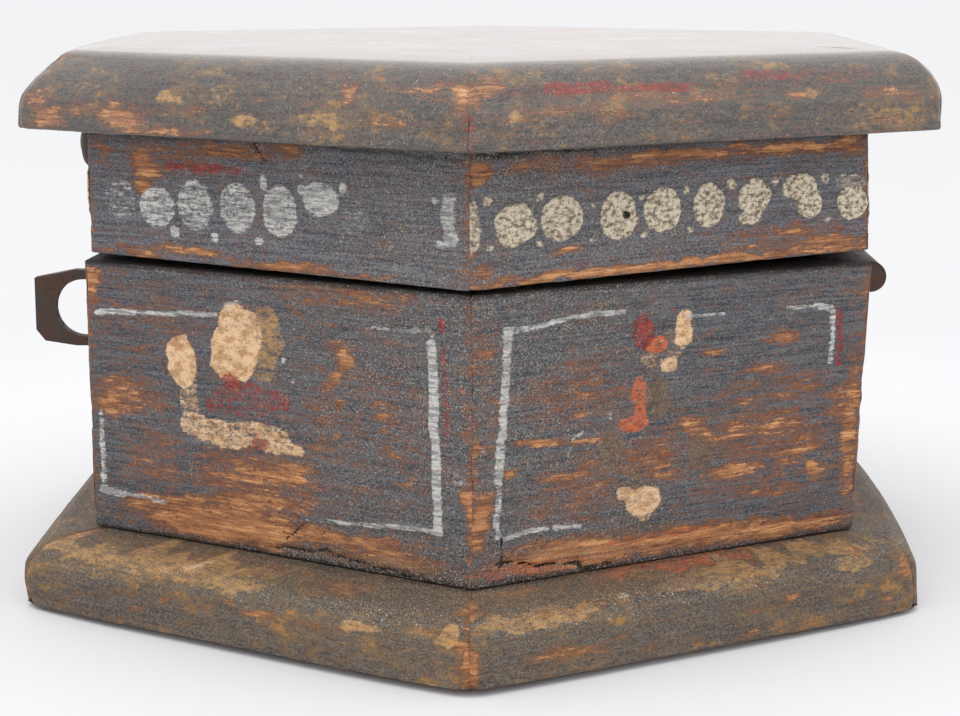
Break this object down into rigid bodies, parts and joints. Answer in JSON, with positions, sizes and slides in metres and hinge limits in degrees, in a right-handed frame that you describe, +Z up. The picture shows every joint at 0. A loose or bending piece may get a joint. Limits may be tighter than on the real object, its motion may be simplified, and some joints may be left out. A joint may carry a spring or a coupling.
{
  "type": "hexagonal painted wooden box with hinged lid",
  "caption": "Small six-sided wooden box with worn hand paint, a moulded foot, an overhanging moulded lid on a side hinge, and an iron hook and eye that hold it shut.",
  "frame": {"origin": "centre of the underside, on the surface it stands on", "axes": "+Z up, -Y towards the front corner, +X towards the hinged side, -X towards the eye and hook"},
  "size_m": [0.1064, 0.1178, 0.0631],
  "materials": {
    "wall_paint": "worn matte grey-blue paint with faded painted ornament over red-brown wood",
    "lid_wall_paint": "worn matte grey-blue paint with a row of pale painted dots",
    "foot_paint": "worn olive-brown paint over orange wood, dusty",
    "lid_moulding_paint": "worn red-brown and ochre paint, dusty on the nose",
    "lid_top_paint": "satin lacquered paint with faded pink and orange patches",
    "bare_wood": "bare aged wood",
    "hinge_iron": "dark rusted iron",
    "latch_iron": "dark rusted iron"
  },
  "bodies": {
    "box": {"floor_panel": "bare_wood", "foot_moulding_front_right": "foot_paint", "foot_moulding_right": "foot_paint", "foot_moulding_back_right": "foot_paint", "foot_moulding_back_left": "foot_paint", "foot_moulding_left": "foot_paint", "foot_moulding_front_left": "foot_paint", "box_wall_front_right": "wall_paint", "box_wall_right": "wall_paint", "box_wall_back_right": "wall_paint", "box_wall_back_left": "wall_paint", "box_wall_left": "wall_paint", "box_wall_front_left": "wall_paint", "hinge_leaf_box": "hinge_iron", "hinge_pin": "hinge_iron", "hinge_nails_box": "hinge_iron", "latch_eye": "latch_iron", "foot_nails": "hinge_iron"},
    "lid": {"lid_panel": "lid_top_paint", "lid_moulding_front_right": "lid_moulding_paint", "lid_moulding_right": "lid_moulding_paint", "lid_moulding_back_right": "lid_moulding_paint", "lid_moulding_back_left": "lid_moulding_paint", "lid_moulding_left": "lid_moulding_paint", "lid_moulding_front_left": "lid_moulding_paint", "lid_wall_front_right": "lid_wall_paint", "lid_wall_right": "lid_wall_paint", "lid_wall_back_right": "lid_wall_paint", "lid_wall_back_left": "lid_wall_paint", "lid_wall_left": "lid_wall_paint", "lid_wall_front_left": "lid_wall_paint", "hinge_leaf_lid": "hinge_iron", "hinge_nails_lid": "hinge_iron", "hook_pivot_nail": "hinge_iron"},
    "hook": {"latch_hook": "latch_iron"}
  },
  "joints": [
    {"name": "lid_hinge", "type": "hinge", "parent": "box", "child": "lid", "pos_m": [0.0459, 0, 0.0362], "axis": [0, 1, 0], "range_deg": [0, 170]},
    {"name": "hook_pivot", "type": "hinge", "parent": "lid", "child": "hook", "pos_m": [-0.0476, 0, 0.0505], "axis": [1, 0, 0], "range_deg": [-18, 57]}
  ]
}
